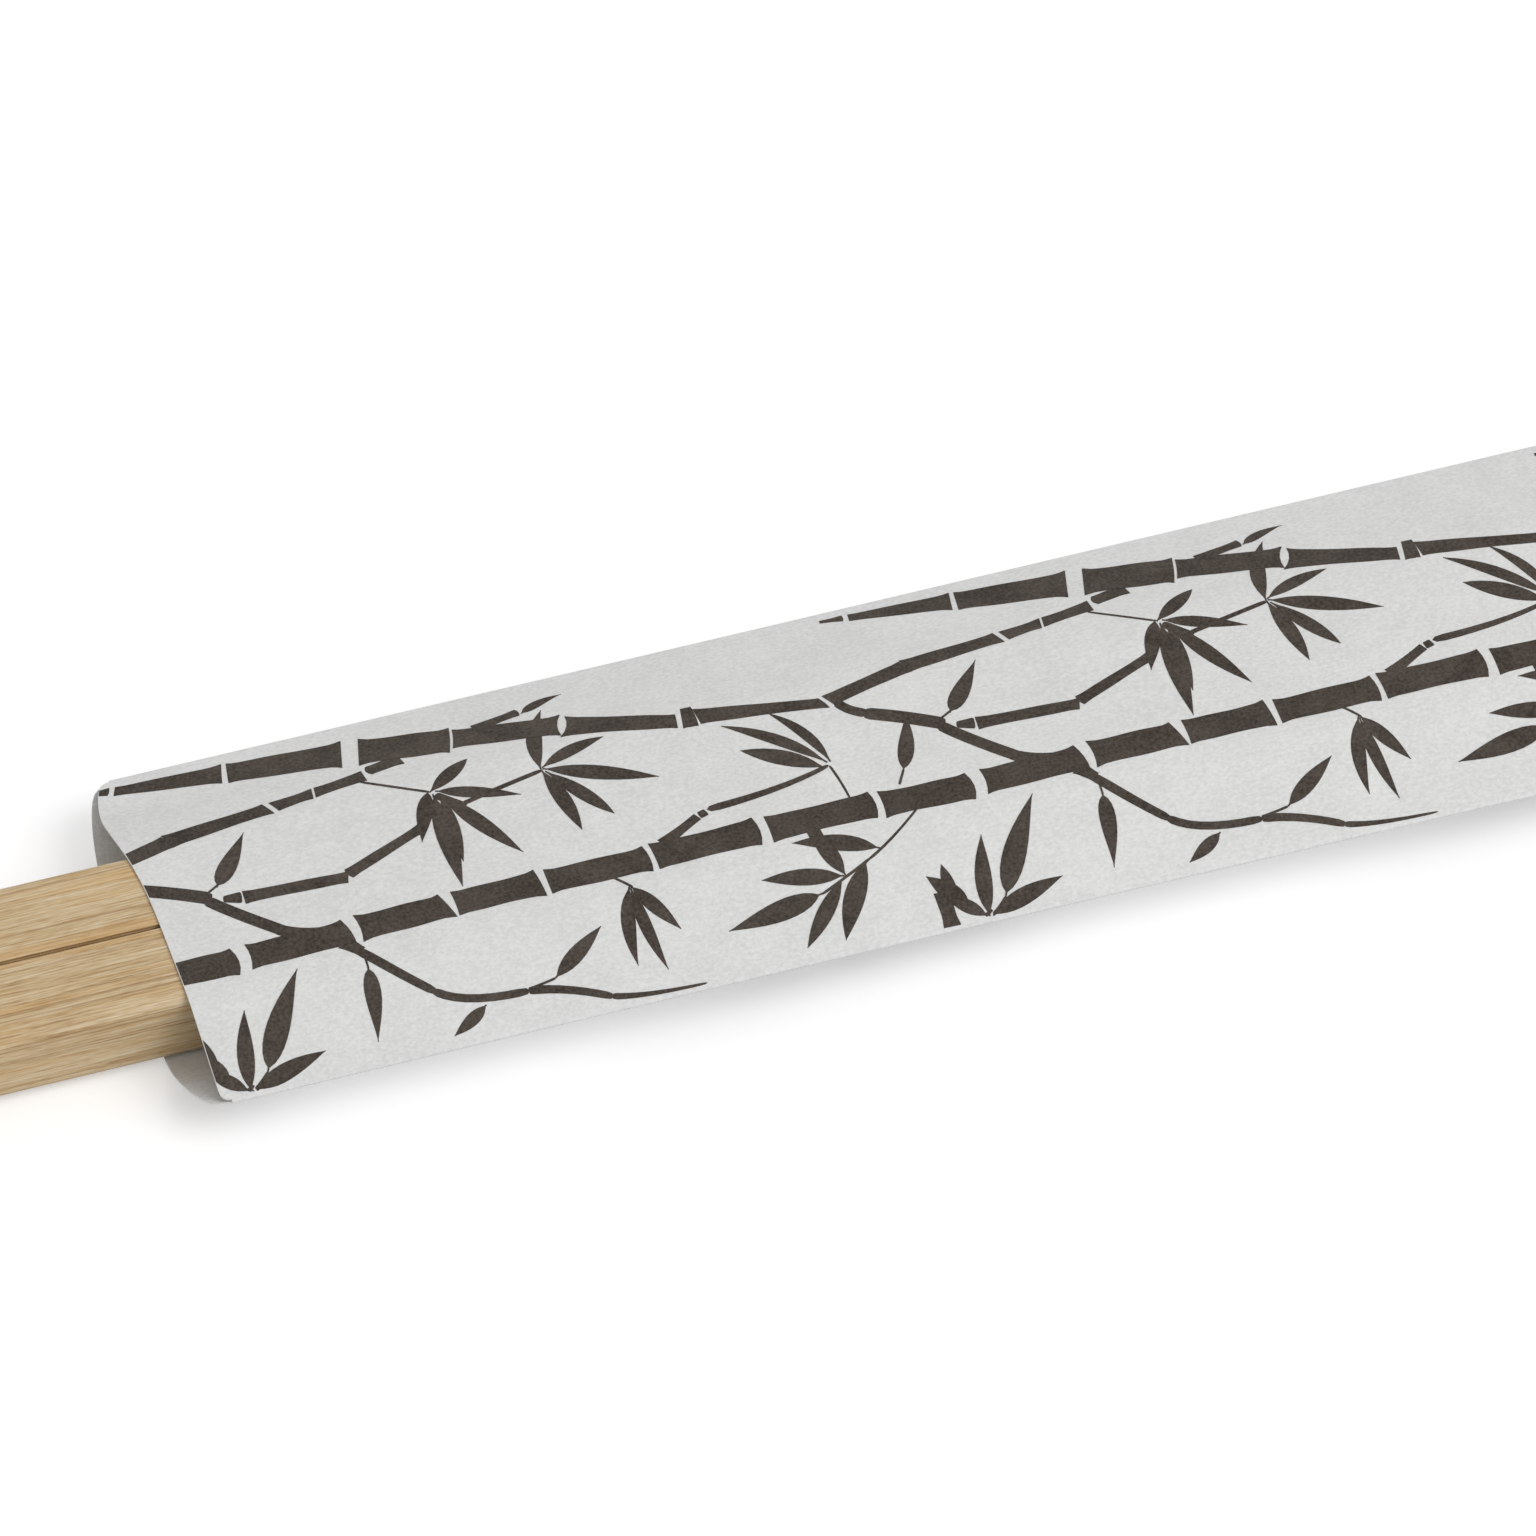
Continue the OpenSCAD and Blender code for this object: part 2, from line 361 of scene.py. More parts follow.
def panel_height(d, y, side):
    """Inside height of the front panel (side 1) or depth of the back one (side -1) from mid height.

    It is flat over the sticks, turns over their edges on an arc, and runs straight down to the fold.
    The paper lies close on the sticks at the mouth and swells off them further in, in shallow waves
    that die out at the folds and the closed end. At the mouth the front's far flank sags a little.
    """
    half_w, half_t, fold_y, fold_z = pocket(d)
    edge = side * fold_z + crease / 2
    slope = np.arctan2(half_t - edge, fold_y - half_w)
    run = shoulder_r * np.tan(slope / 2)
    reach = np.minimum(np.abs(y), fold_y)
    past = np.clip(reach - half_w + run, 0, None)
    arc = half_t - shoulder_r + np.sqrt(np.clip(shoulder_r**2 - past**2, 0, None))
    flank = edge + (fold_y - reach) * np.tan(slope)
    height = np.where(reach < half_w + run * np.cos(slope), arc, flank)
    share = (reach / fold_y) ** 2
    u = np.clip(sleeve_len - d, 0, None)
    long_wave = long_wave_h * np.sin(u / long_wave_len + long_wave_slant * y + long_wave_start)
    short_wave = short_wave_h * np.sin(u / short_wave_len + short_wave_slant * y)
    waves = (long_wave + short_wave) * (1 - np.exp(-u / wave_run_in))
    swell = swell_h - cling_h * np.exp(-u / cling_len) + waves
    inward = np.clip((fold_y - reach) / sag_w, 0, 1)
    sag = sag_depth * np.sin(np.pi * inward) ** 2 * np.exp(-u / sag_len) * (y > 0)
    front = (1 - share) * swell - sag
    lifted = np.where(side > 0, front, back_bulge * share**2 * (1 - share) * swell)
    return height + lifted * np.clip(d / end_run, 0, 1)


def lip(y, fold_y):
    """How far the back panel reaches past the mouth: the lip's length, rounded off at the folds."""
    past = np.clip(np.abs(y) - fold_y + lip_corner_r, 0, lip_corner_r)
    return lip_len * np.sqrt(1 - (past / lip_corner_r) ** 2)


def glued_layers(d, y):
    """Extra layers of paper on the outside of the back: two on the flap and one on the lapped seam.

    The seam's far edge is a step, and its near edge is pressed down over a short way.
    """
    seam = np.clip((seam_w / 2 + seam_press + y) / seam_press, 0, 1) * (y < seam_w / 2)
    return np.where(d <= flap_len, 2.0, seam)


def paper_point(d, v, wall, roll=None):
    """The sleeve's surface as (x, y, z), wall millimetres outside the inner face.

    v runs round the girth: 0 at the far fold, panel_w at the near fold, twice that at the far fold
    again. Towards the mouth the sheet slides along X, so that its edge is rounded at the folds,
    flares a little beside the far one and has the lip at the back. Points above the paper step down
    a little past the edges of the seam and the flap. Where a roll angle is given, the point lies on
    the round of its fold, from 90 degrees in front to -90 at the back.
    """
    v = np.mod(v, 2 * panel_w)
    front = v < panel_w
    side = np.where(front, 1.0, -1.0)
    fold_y, fold_z = pocket(d)[2:]
    y = side * fold_y * (1 - 2 * np.where(front, v, v - panel_w) / panel_w)
    past_step = np.where(wall > paper_t, ink_overhang, 0)
    steps = np.maximum(glued_layers(d, y), glued_layers(d - past_step, y - past_step))
    layers = np.where(front, 0, steps) * paper_t * (wall > 0)
    z = side * (panel_height(d, y, side) + wall + layers)
    fade = np.clip(1 - (sleeve_len - d) / mouth_run, 0, 1) ** 2
    from_fold = np.minimum(np.mod(v, panel_w), panel_w - np.mod(v, panel_w))
    flare = mouth_flare * (1 - np.exp(-v / flare_start)) * np.exp(-(((v - flare_v) / flare_w) ** 2))
    past_mouth = np.where(front, flare, lip(y, fold_y))
    x = closed_x - d + fade * (rounding(from_fold, mouth_r) - past_mouth)
    if roll is not None:
        on_fold = np.abs(roll) < 90
        radius = crease / 2 + wall
        outward = np.where(np.isclose(v, panel_w), -1.0, 1.0)
        y = np.where(on_fold, outward * (fold_y + radius * np.cos(np.radians(roll))), y)
        z = np.where(on_fold, fold_z + radius * np.sin(np.radians(roll)), z)
        x = np.where(on_fold, closed_x - d + fade * mouth_r, x)
    return np.stack(np.broadcast_arrays(x, y, mid_z + z), axis=-1)


def sleeve_surface():
    """The whole sheet as one skin: outside from the closed end to the mouth, then inside back again.

    Columns run round the girth with a small round at each fold, and are close together beside the
    folds and at the edges of the seam. At both ends of the skin the rows close down to the fold
    plane, so front and back meet there.
    """
    step = 0.01
    half_seam = seam_w / 2
    usual_fold_y = 13.0
    seam_edges = np.array([-half_seam - seam_press, -half_seam, half_seam - step, half_seam + step])
    seam_v = panel_w / 2 * (1 + seam_edges / usual_fold_y)
    beside_fold = np.array([0.05, 0.18])
    panel = np.linspace(0, panel_w, 73)[1:-1]
    columns = [beside_fold, panel, panel_w - beside_fold, seam_v, panel_w - seam_v]
    across = np.unique(np.concatenate(columns))
    around = np.linspace(90, -90, 9)[1:-1]
    front_v = np.concatenate([[0.0], across, [panel_w - hair]])
    back_v = front_v + panel_w
    near_fold = np.full(len(around), panel_w)
    v = np.concatenate([front_v, near_fold, back_v, 0 * near_fold])
    flat = np.full(len(front_v), 90.0)
    roll = np.concatenate([flat, around, -flat, around[::-1]])

    end_r = crease / 2 + 2 * paper_t
    end_turn = np.radians([0, 25, 50, 70])
    end_rows = end_r * (1 - np.cos(end_turn))
    closing = np.linspace(end_r, tip_gap, 16)
    flap_edge = [flap_len - step, flap_len + step]
    body = np.linspace(tip_gap + 0.8, sleeve_len - 8, 90)
    mouth = sleeve_len - np.array([7, 6, 5, 4, 3, 2, 1.3, 0.7, 0.3, 0])
    open_rows = np.unique(np.concatenate([closing, flap_edge, body, mouth]))
    inner_end = 0.35
    inside_rows = open_rows[open_rows > inner_end + 0.05][::-1]
    d = np.concatenate([end_rows, open_rows, inside_rows, [inner_end]])
    outside = np.full(len(end_rows) + len(open_rows), paper_t)
    wall = np.concatenate([outside, np.zeros(len(inside_rows) + 1)])
    squeeze = np.concatenate([np.sin(end_turn), np.ones(len(open_rows) + len(inside_rows)), [0.0]])

    rolls = np.broadcast_to(roll, (len(d), len(v)))
    points = paper_point(d[:, None], v[None, :], wall[:, None], rolls)
    level = mid_z + pocket(d)[3][:, None]
    points[..., 2] = level + (points[..., 2] - level) * squeeze[:, None]
    return points


sheet = sleeve_surface()
sheet_faces = tube_faces(*sheet.shape[:2])[:, ::-1].tolist()
paper_sheet = make_piece("paper_sheet", sheet.reshape(-1, 3), sheet_faces, sheet_sharp)


def paper():
    """Uncoated white paper: faint cloudy fibre clumps, fine fibres and a soft tooth."""
    material, shader, spot = new_material("white_paper")
    clouds = spot.noise((0.35, 0.35, 0.35), 3.0)
    fibres = spot.noise((3.5, 5.0, 3.5), 4.0)
    tone = 0.25 * clouds + 0.75 * fibres
    colour = tone.ramp((0.38, seen(211, 211, 210)), (0.62, seen(227, 227, 226)))
    spot.feed(shader.inputs["Base Color"], colour)
    spot.feed(shader.inputs["Roughness"], 0.56 + 0.16 * fibres)
    spot.feed(shader.inputs["Normal"], (0.7 * fibres + 0.5 * clouds).relief(0.03))
    shader.inputs["Specular IOR Level"].default_value = 0.3
    return material


paper_sheet.data.materials.append(paper())
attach(paper_sheet, "root")
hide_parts("paper_sleeve")


# The print: a bamboo grove in one dark ink, laid down as a thin film on the outside of the paper.
# Jointed canes run along the sleeve, with twigs and sprays of pointed leaves between them, and the
# same drawing repeats along the front and, half a repeat further on, along the back.

repeat = 45.6
ink_t = 0.014
ink_step = 0.004
ink_levels = 6
ink_root = 0.04
ink_sharp = 40
hairline = 0.02
end_power = 6
joint_len = 0.35
start_swell = 0.12
end_swell = 0.14
cane_wobble = 0.03
wobble_turn = 9.0
wobble_start = 5.0
twig_power = 20
leaf_power = 1.85
stalk_share = 0.05
stalk_half_w = 0.05
print_start = 0.04
print_stop = sleeve_len - 0.5
skip_before = 0.1
skip_past = sleeve_len - 0.6

# Canes: start and end as (along from the mouth, across from the far fold), half the width at each,
# how far the lower edge of each end is pushed along, and how far the middle of each end is.
canes = [
    ((-2.1, 17.75), (3.4, 17.9), 0.97, 1.00, 0.0, 0.05, 0.1, 0.25),
    ((4.25, 17.8), (10.45, 17.75), 0.96, 0.96, -0.05, 0.2, 0.15, 0.15),
    ((11.05, 17.65), (16.6, 17.55), 1.00, 0.95, 0.0, 0.3, 0.15, 0.05),
    ((17.05, 17.55), (22.35, 17.5), 0.92, 0.97, 0.0, 0.1, 0.05, 0.05),
    ((22.8, 17.55), (29.0, 17.55), 0.92, 0.95, 0.0, 0.05, 0.0, 0.15),
    ((29.4, 17.5), (35.8, 17.5), 0.98, 1.00, 0.05, 0.0, 0.05, 0.2),
    ((36.5, 17.6), (43.0, 17.6), 0.98, 0.96, 0.0, 0.0, 0.05, 0.2),
    ((-0.8, 0.75), (0.6, 0.9), 0.12, 0.28, 0.0, 0.0, 0.0, 0.05),
    ((0.95, 1.0), (7.2, 1.75), 0.33, 0.81, 0.0, -0.05, 0.0, 0.0),
    ((7.5, 1.85), (14.25, 2.7), 0.87, 1.20, 0.0, -0.15, 0.0, 0.0),
    ((15.25, 2.9), (20.65, 3.85), 1.22, 1.16, -0.1, -0.1, 0.0, 0.05),
    ((20.85, 3.8), (27.25, 5.05), 0.90, 0.94, -0.05, -0.05, 0.05, -0.2),
    ((27.3, 5.25), (33.85, 7.3), 0.95, 0.56, -0.1, 0.1, 0.25, 0.0),
    ((34.2, 7.15), (35.0, 7.2), 0.82, 0.82, -0.1, 0.05, 0.0, 0.05),
    ((35.1, 7.3), (42.65, 8.75), 0.64, 0.36, 0.2, 0.3, 0.0, 0.05),
    ((-2.65, 8.65), (2.6, 7.25), 0.48, 0.53, 0.15, 0.1, 0.0, 0.05),
    ((2.6, 7.2), (8.75, 6.45), 0.57, 0.49, 0.15, 0.15, 0.0, 0.0),
    ((9.1, 6.4), (11.55, 6.0), 0.46, 0.42, 0.1, -0.15, 0.0, 0.0),
    ((11.7, 5.95), (14.9, 5.4), 0.43, 0.49, -0.15, -0.05, 0.0, 0.0),
    ((15.3, 5.0), (17.4, 4.55), 0.42, 0.50, 0.0, 0.0, -0.2, 0.0),
    ((5.3, 13.1), (11.65, 13.45), 0.46, 0.42, 0.0, -0.1, 0.0, 0.0),
    ((11.75, 13.2), (16.9, 10.95), 0.39, 0.33, 0.0, 0.0, -0.1, 0.0),
    ((-0.45, 24.6), (-0.5, 26.95), 0.46, 0.45, 0.0, 0.0, 0.0, 0.0),
    ((22.3, 3.3), (25.2, 2.7), 0.36, 0.30, 0.0, 0.0, 0.0, 0.1),
    ((9.95, 18.45), (10.75, 19.45), 0.50, 0.32, 0.0, 0.0, 0.0, 0.0),
    ((30.2, 16.7), (32.8, 15.2), 0.42, 0.26, 0.0, 0.0, 0.0, 0.0),
]

# Twigs and leaf stalks: start, the point they bend towards, end, and half the width at each end.
twigs = [
    ((-2.2, 8.95), (-1.9, 9.75), (-0.8, 10.35), 0.32, 0.36),
    ((-0.95, 10.3), (1.3, 11.25), (3.5, 12.6), 0.48, 0.50),
    ((3.1, 12.55), (4.3, 14.1), (7.15, 16.75), 0.40, 0.42),
    ((6.4, 16.1), (7.5, 17.1), (9.0, 17.4), 0.40, 0.55),
    ((3.3, 12.1), (3.7, 11.9), (4.15, 11.6), 0.07, 0.07),
    ((4.1, 12.85), (4.6, 12.95), (5.2, 13.05), 0.24, 0.46),
    ((14.5, 5.95), (16.2, 7.2), (18.15, 8.25), 0.09, 0.08),
    ((18.4, 8.6), (19.1, 9.3), (19.9, 10.1), 0.28, 0.30),
    ((19.6, 9.85), (22.4, 9.2), (25.0, 8.7), 0.17, 0.15),
    ((10.5, 19.25), (12.25, 21.4), (14.2, 23.3), 0.32, 0.27),
    ((14.1, 23.2), (15.5, 24.65), (19.6, 24.65), 0.27, 0.26),
    ((19.5, 24.65), (21.6, 24.85), (24.3, 26.3), 0.28, 0.24),
    ((24.2, 26.25), (26.0, 26.8), (29.9, 26.85), 0.22, 0.07),
    ((19.8, 24.5), (20.6, 24.4), (21.3, 24.25), 0.08, 0.08),
    ((10.75, 19.3), (10.85, 20.0), (10.8, 20.8), 0.07, 0.06),
    ((1.6, 26.75), (1.85, 26.65), (2.1, 26.45), 0.12, 0.10),
    ((2.1, 26.75), (2.6, 26.45), (3.15, 25.85), 0.09, 0.09),
    ((32.9, 15.15), (33.15, 15.1), (33.4, 15.0), 0.27, 0.27),
    ((33.5, 14.85), (38.4, 14.8), (41.4, 13.75), 0.29, 0.14),
    ((41.45, 13.8), (41.75, 15.2), (41.85, 16.7), 0.08, 0.07),
    ((45.6, 18.5), (43.6, 20.4), (41.6, 21.4), 0.07, 0.09),
    ((41.7, 21.35), (40.0, 22.2), (38.2, 22.95), 0.09, 0.08),
    ((39.0, 18.3), (39.0, 18.9), (39.2, 19.8), 0.42, 0.42),
    ((45.0, 16.5), (45.25, 16.05), (45.6, 15.4), 0.08, 0.07),
    ((26.3, 18.1), (27.0, 18.8), (27.5, 19.5), 0.08, 0.08),
]

# Leaves: base, tip, greatest width, how far the middle bows to the left of the way from base to
# tip, and the share of the length at which the leaf is widest.
leaves = [
    ((4.0, 11.8), (6.8, 8.0), 1.12, -0.05, 0.30),
    ((18.15, 8.3), (21.1, 6.15), 0.98, 0.0, 0.50),
    ((18.5, 8.3), (23.3, 10.2), 0.90, 0.05, 0.38),
    ((18.1, 8.15), (16.6, 12.1), 1.00, -0.05, 0.35),
    ((18.3, 8.5), (17.9, 16.35), 1.20, 0.0, 0.40),
    ((18.7, 8.6), (18.5, 14.4), 0.82, 0.08, 0.45),
    ((18.75, 8.7), (22.1, 14.8), 1.06, -0.05, 0.42),
    ((25.0, 8.65), (26.6, 3.05), 0.98, 0.42, 0.42),
    ((25.1, 8.5), (29.3, 7.15), 0.90, 0.20, 0.45),
    ((25.1, 8.6), (31.55, 11.35), 1.14, 0.0, 0.42),
    ((25.2, 8.85), (28.15, 13.4), 0.94, 0.05, 0.50),
    ((25.0, 8.7), (25.95, 14.1), 0.98, 0.10, 0.45),
    ((25.4, 2.9), (28.2, 1.9), 0.68, 0.18, 0.32),
    ((16.85, 24.9), (14.45, 26.4), 0.80, 0.05, 0.40),
    ((21.3, 24.25), (24.9, 21.6), 0.98, 0.0, 0.40),
    ((10.8, 20.6), (10.0, 25.6), 1.00, 0.10, 0.30),
    ((1.85, 26.85), (2.95, 21.5), 1.02, 0.14, 0.40),
    ((3.15, 25.85), (6.75, 19.6), 1.42, 0.14, 0.34),
    ((2.05, 26.85), (6.85, 25.35), 1.14, 0.10, 0.40),
    ((1.75, 26.8), (-0.3, 24.9), 0.90, 0.0, 0.45),
    ((0.9, 25.95), (-1.05, 23.35), 1.20, -0.05, 0.40),
    ((0.15, 25.6), (0.05, 22.8), 0.78, 0.0, 0.45),
    ((41.6, 13.5), (39.2, 8.5), 0.70, -0.42, 0.45),
    ((41.4, 13.5), (36.25, 8.6), 0.82, -0.38, 0.45),
    ((41.2, 13.9), (36.75, 10.9), 1.20, -0.10, 0.48),
    ((39.95, 22.1), (38.85, 18.6), 1.05, 0.0, 0.45),
    ((42.45, 20.85), (37.5, 19.1), 1.18, -0.20, 0.42),
    ((39.85, 22.1), (35.0, 21.15), 1.12, -0.05, 0.42),
    ((38.25, 22.9), (32.15, 23.9), 1.38, 0.05, 0.36),
    ((39.7, 22.25), (36.35, 26.15), 0.98, 0.0, 0.45),
    ((41.45, 21.45), (38.7, 26.25), 1.28, -0.16, 0.42),
    ((45.55, 15.5), (47.05, 11.1), 1.00, -0.12, 0.34),
    ((27.3, 19.4), (26.3, 24.7), 0.88, -0.30, 0.40),
    ((27.35, 19.5), (27.95, 25.4), 0.78, -0.15, 0.40),
    ((27.4, 19.4), (29.45, 23.0), 0.92, 0.0, 0.40),
]


def eased(count):
    """Shares from 0 to 1 that lie closer together at both ends: (1 - cos)/2 over half a turn."""
    return (1 - np.cos(np.linspace(0, np.pi, count))) / 2


def ribbons(start, bend, end, half, slant, push):
    """Flat ribbons on the unrolled sheet, as (ribbon, along, across, place) with place = (u, v).

    Each follows the curve (1-s)^2 start + 2s(1-s) bend + s^2 end, and a point lies t times the half
    width to the side of it, with t from -1 to 1. At each end the slant slides points along by t and
    the push by 1 - t^2, so the end is oblique, hollow or round.
    """
    s = eased(half.shape[1])
    t = np.linspace(-1, 1, 5)[:, None]
    s_column = s[:, None]
    start, bend, end = (np.asarray(point)[:, None, :] for point in (start, bend, end))
    middle = (1 - s_column) ** 2 * start + 2 * s_column * (1 - s_column) * bend + s_column**2 * end
    along = (1 - s_column) * (bend - start) + s_column * (end - bend)
    along = along / np.linalg.norm(along, axis=-1, keepdims=True)
    aside = np.stack([-along[..., 1], along[..., 0]], axis=-1)
    at_start = (1 - s) ** end_power
    at_end = s**end_power
    tilt, press = (ends[:, :1] * at_start + ends[:, 1:] * at_end for ends in (slant, push))
    slide = t * tilt[:, :, None, None] + (1 - t**2) * press[:, :, None, None]
    spread = t * half[:, :, None, None] * aside[:, :, None, :]
    return middle[:, :, None, :] + spread + slide * along[:, :, None, :]


def cane_ribbons():
    """Straight ribbons that swell at both ends, where the joints of the cane are."""
    start, end = (np.array([cane[k] for cane in canes]) for k in (0, 1))
    first, last = (np.array([cane[k] for cane in canes])[:, None] for k in (2, 3))
    slant, push = (np.array([cane[k : k + 2] for cane in canes]) for k in (4, 6))
    s = eased(15)
    length = np.linalg.norm(end - start, axis=1)[:, None]
    at_start = start_swell * np.exp(-((s * length / joint_len) ** 2))
    at_end = end_swell * np.exp(-(((1 - s) * length / joint_len) ** 2))
    wobble = cane_wobble * np.sin(wobble_turn * s + wobble_start * first * length)
    half = first + (last - first) * s + first * (at_start + wobble) + last * at_end
    return ribbons(start, (start + end) / 2, end, half, slant, push)


def twig_ribbons():
    """Bent ribbons with rounded ends."""
    start, bend, end = (np.array([twig[k] for twig in twigs]) for k in (0, 1, 2))
    first, last = (np.array([twig[k] for twig in twigs])[:, None] for k in (3, 4))
    s = eased(12)
    rounded = np.sqrt(1 - (2 * s - 1) ** twig_power)
    half = np.maximum((first + (last - first) * s) * rounded, hairline)
    square = np.zeros((len(twigs), 2))
    return ribbons(start, bend, end, half, square, square)


def leaf_ribbons():
    """Pointed ribbons on a short stalk.

    Past the stalk the half width goes as (p/w)^(k w) ((1 - p)/(1 - w))^(k (1 - w)) with p from 0 to 1
    and k the leaf power, which is greatest at p = w.
    """
    base, tip = (np.array([leaf[k] for leaf in leaves]) for k in (0, 1))
    width, bow, widest = (np.array([leaf[k] for leaf in leaves])[:, None] for k in (2, 3, 4))
    s = eased(16)
    p = np.clip((s - stalk_share) / (1 - stalk_share), 0, 1)
    rise = (p / widest) ** (leaf_power * widest)
    fall = ((1 - p) / (1 - widest)) ** (leaf_power * (1 - widest))
    half = np.maximum(width / 2 * (rise * fall), np.where(s < 0.5, stalk_half_w, hairline))
    way = tip - base
    left = np.stack([way[:, 1], -way[:, 0]], axis=-1) / np.linalg.norm(way, axis=1, keepdims=True)
    bend = (base + tip) / 2 + 2 * bow * left
    square = np.zeros((len(leaves), 2))
    return ribbons(base, bend, tip, half, square, square)


def ink_film(shapes, lift):
    """Closed flat films over ribbons, as (u, -v, height over the paper).

    The tops lie at the lift, in a few levels, so that films that cross don't share a plane. The roots
    lie in the paper.
    """
    flat = shapes * (1, -1)
    level = lift + ink_step * (np.arange(len(shapes)) % ink_levels)[:, None, None]
    top, under = (
        np.concatenate([flat, np.broadcast_to(height, flat.shape[:-1])[..., None]], axis=-1)
        for height in (level, -ink_root)
    )
    loops = np.concatenate([top, under[:, :, ::-1]], axis=2)
    count, rows, columns = loops.shape[:3]
    width = columns // 2
    k = np.arange(width - 1)
    cap = np.stack([k, columns - 1 - k, columns - 2 - k, k + 1], axis=-1)
    far_cap = cap[:, ::-1] + (rows - 1) * columns
    faces = np.concatenate([tube_faces(rows, columns), cap, far_cap])
    faces = faces[None] + (np.arange(count) * rows * columns)[:, None, None]
    return loops.reshape(-1, 3), faces.reshape(-1, 4)


def print_surface():
    """All films of the drawing, repeated along the front and, half a repeat on, along the back."""
    count = int(np.ceil(sleeve_len / repeat))
    front_places = [(k * repeat, 0.0) for k in range(count)]
    back_places = [((k - 0.5) * repeat, panel_w) for k in range(count + 1)]
    drawing = [
        (cane_ribbons(), ink_t),
        (twig_ribbons(), ink_t + 0.3 * ink_step),
        (leaf_ribbons(), ink_t + 0.6 * ink_step),
    ]
    points = []
    faces = []
    total = 0
    for place in front_places + back_places:
        for shapes, lift in drawing:
            moved = shapes + np.array(place)
            u = moved[..., 0]
            on_paper = (u.max(axis=(1, 2)) > skip_before) & (u.min(axis=(1, 2)) < skip_past)
            film, film_faces = ink_film(moved[on_paper], lift)
            points.append(film)
            faces.append(film_faces + total)
            total += len(film)
    return np.concatenate(points), np.concatenate(faces).tolist()


def trim(piece, u, keep):
    """Cuts a flat film off square at u and closes it.

    What lies past the cut is kept where keep is 1, and what lies before it where keep is -1.
    """
    shell = bmesh.new()
    shell.from_mesh(piece.data)
    everything = [*shell.verts, *shell.edges, *shell.faces]
    bmesh.ops.bisect_plane(
        shell,
        geom=everything,
        plane_co=(u * MM, 0, 0),
        plane_no=(keep, 0, 0),
        clear_inner=True,
        dist=1e-9,
    )
    open_edges = [edge for edge in shell.edges if edge.is_boundary]
    bmesh.ops.holes_fill(shell, edges=open_edges, sides=0)
    shell.to_mesh(piece.data)
    shell.free()


def wrap(piece):
    """Bends a flat film round the sleeve, from (u, -v, height) to that height over the paper."""
    flat = np.empty(3 * len(piece.data.vertices))
    piece.data.vertices.foreach_get("co", flat)
    u, across, height = flat.reshape(-1, 3).T / MM
    bent = paper_point(sleeve_len - u, -across, paper_t + height)
    piece.data.vertices.foreach_set("co", MM * bent.ravel())
    piece.data.set_sharp_from_angle(angle=radians(ink_sharp))


ink_points, ink_faces = print_surface()
ink_print = make_piece("ink_print", ink_points, ink_faces, ink_sharp)
trim(ink_print, print_start, 1)
trim(ink_print, print_stop, -1)
wrap(ink_print)


def ink():
    """Dark warm grey ink with a faint grain where the paper's tooth shows through."""
    material, shader, spot = new_material("grey_ink")
    grain = spot.noise((5.0, 5.0, 5.0), 3.0)
    clouds = spot.noise((0.4, 0.4, 0.4), 2.0)
    colour = (0.65 * grain + 0.35 * clouds).ramp((0.36, seen(52, 45, 40)), (0.66, seen(90, 82, 75)))
    spot.feed(shader.inputs["Base Color"], colour)
    spot.feed(shader.inputs["Roughness"], 0.52 + 0.16 * grain)
    shader.inputs["Specular IOR Level"].default_value = 0.12
    return material


ink_print.data.materials.append(ink())
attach(ink_print, "root")


# The ground is a plain white floor, a hair under the print on the back of the sleeve. A large soft
# lamp stands in front, to the right and above, and an even white sky fills the shadows. The camera
# looks down on the mouth of the sleeve with a long lens.

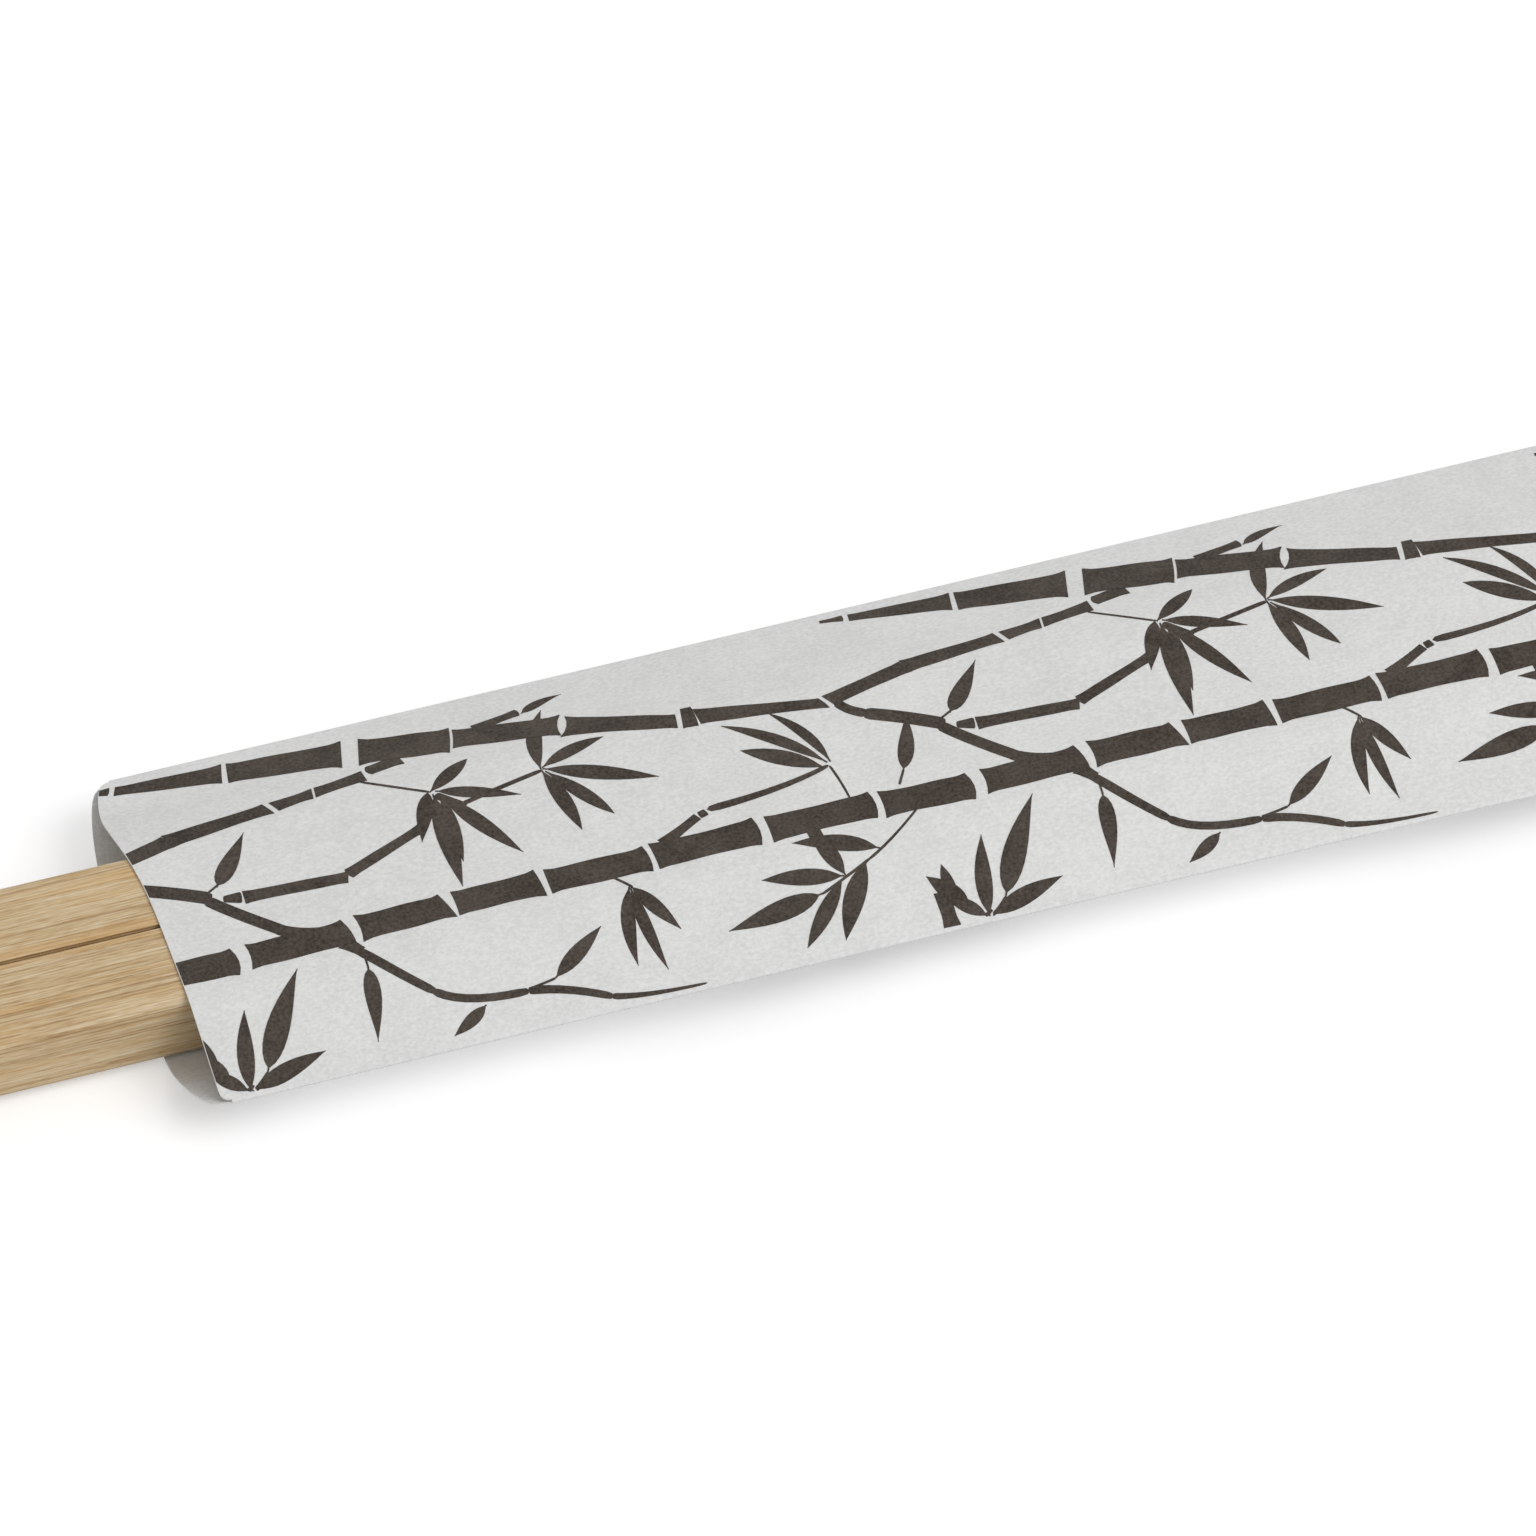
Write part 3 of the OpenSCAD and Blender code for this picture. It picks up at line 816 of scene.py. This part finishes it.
floor_half = 3.0
floor_z = -0.06 * MM
floor_corners = [(-1, -1), (1, -1), (1, 1), (-1, 1)]
floor_points = [(x * floor_half, y * floor_half, floor_z) for x, y in floor_corners]
floor_mesh = bpy.data.meshes.new("floor")
floor_mesh.from_pydata(floor_points, [], [(0, 1, 2, 3)])
floor = bpy.data.objects.new("floor", floor_mesh)
bpy.context.scene.collection.objects.link(floor)
floor_paint, floor_shader, floor_spot = new_material("white_floor")


def shown_rays(value):
    """1 on rays that show the background, straight, mirrored or through glass, and otherwise 0."""
    camera_ray, glossy_ray, glass_ray = (
        value.node("ShaderNodeLightPath", {}, output=name)
        for name in ("Is Camera Ray", "Is Glossy Ray", "Is Transmission Ray")
    )
    return value.sum("MAXIMUM", camera_ray, value.sum("MAXIMUM", glossy_ray, glass_ray))


floor_shader.inputs["Base Color"].default_value = (*seen(232, 232, 232), 1)
floor_shader.inputs["Roughness"].default_value = 0.9
floor_glow = shown_rays(floor_spot).mixed((0, 0, 0, 1), (1, 1, 1, 1))
floor_spot.feed(floor_shader.inputs["Emission Color"], floor_glow)
floor_shader.inputs["Emission Strength"].default_value = 0.35
floor_mesh.materials.append(floor_paint)

scene = bpy.context.scene
scene.view_settings.view_transform = "Standard"
world = bpy.data.worlds.new("even_sky")
world.use_nodes = True
sky = world.node_tree.nodes["Background"]
sky.inputs["Color"].default_value = (1, 1, 1, 1)
sky_colour = Value(sky.outputs["Background"])
sky_colour.feed(sky.inputs["Strength"], 0.62 + 0.38 * shown_rays(sky_colour))
scene.world = world

lamp_data = bpy.data.lights.new("soft_lamp", "AREA")
lamp_data.energy = 3.8
lamp_data.size = 0.6
lamp = bpy.data.objects.new("soft_lamp", lamp_data)
lamp.location = (0.45, -0.40, 0.70)
lamp.rotation_euler = (-lamp.location).to_track_quat("-Z", "Y").to_euler()
scene.collection.objects.link(lamp)

turn_about = radians(-17.44)
look_down = radians(48.742)
target = Vector((9.449, 2.381, 3.99)) * MM
level_share = np.cos(look_down)
back = Vector((np.sin(turn_about) * level_share, -np.cos(turn_about) * level_share, np.sin(look_down)))
camera_data = bpy.data.cameras.new("camera")
camera_data.lens = 392.19
camera_data.sensor_width = 36
camera_data.clip_start = 0.05
camera = bpy.data.objects.new("camera", camera_data)
camera.location = target + back
camera.rotation_euler = (-back).to_track_quat("-Z", "Y").to_euler()
scene.collection.objects.link(camera)
scene.camera = camera
